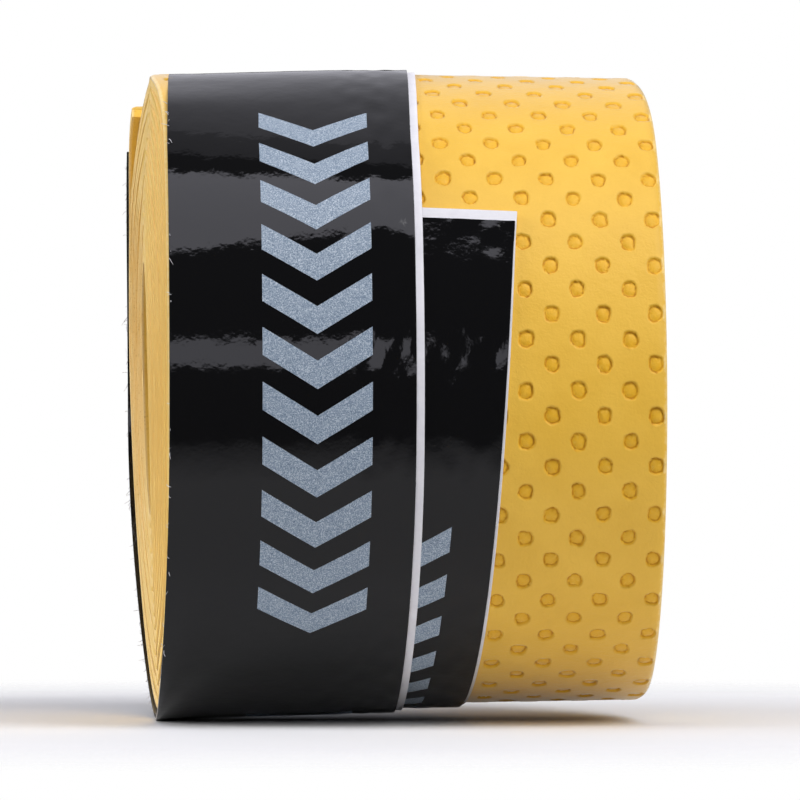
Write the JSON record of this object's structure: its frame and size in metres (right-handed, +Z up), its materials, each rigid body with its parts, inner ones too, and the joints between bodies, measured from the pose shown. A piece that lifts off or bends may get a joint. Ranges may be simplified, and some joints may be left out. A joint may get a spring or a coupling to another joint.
{
  "type": "grip tape roll",
  "caption": "Coreless roll of dimpled yellow racket overgrip tape, held closed by a black printed finishing strip.",
  "frame": {"origin": "bottom centre of the bounding box, with the roll lying on its side", "axes": "+X along the roll's axis, from the end under the finishing strip to the plain end; +Z up; -Y is the side where the finishing strip's two turns show"},
  "size_m": [0.0266, 0.034, 0.0335],
  "materials": {
    "yellow_polyurethane": "matt embossed polyurethane",
    "pale_foam": "matt cut foam and fibre",
    "adhesive": "tacky satin",
    "white_release_paper": "smooth coated paper",
    "black_vinyl": "high gloss with silver-grey print"
  },
  "bodies": {
    "roll": {"grip_tape_skin": "yellow_polyurethane", "grip_tape_backing": "pale_foam", "starter_adhesive": "adhesive", "starter_release_paper": "white_release_paper"},
    "finishing_strip": {"strip_liner": "white_release_paper", "strip_vinyl": "black_vinyl"},
    "strip_tail": {"strip_tail_liner": "white_release_paper", "strip_tail_vinyl": "black_vinyl"}
  },
  "joints": [
    {"name": "strip_slide", "type": "slide", "parent": "roll", "child": "finishing_strip", "axis": [1, 0, 0], "range_m": [0, 0.028]},
    {"name": "tail_peel", "type": "hinge", "parent": "finishing_strip", "child": "strip_tail", "pos_m": [-0.007, 0.0163, 0.02207], "axis": [-1, 0, 0], "range_deg": [0, 75]}
  ]
}
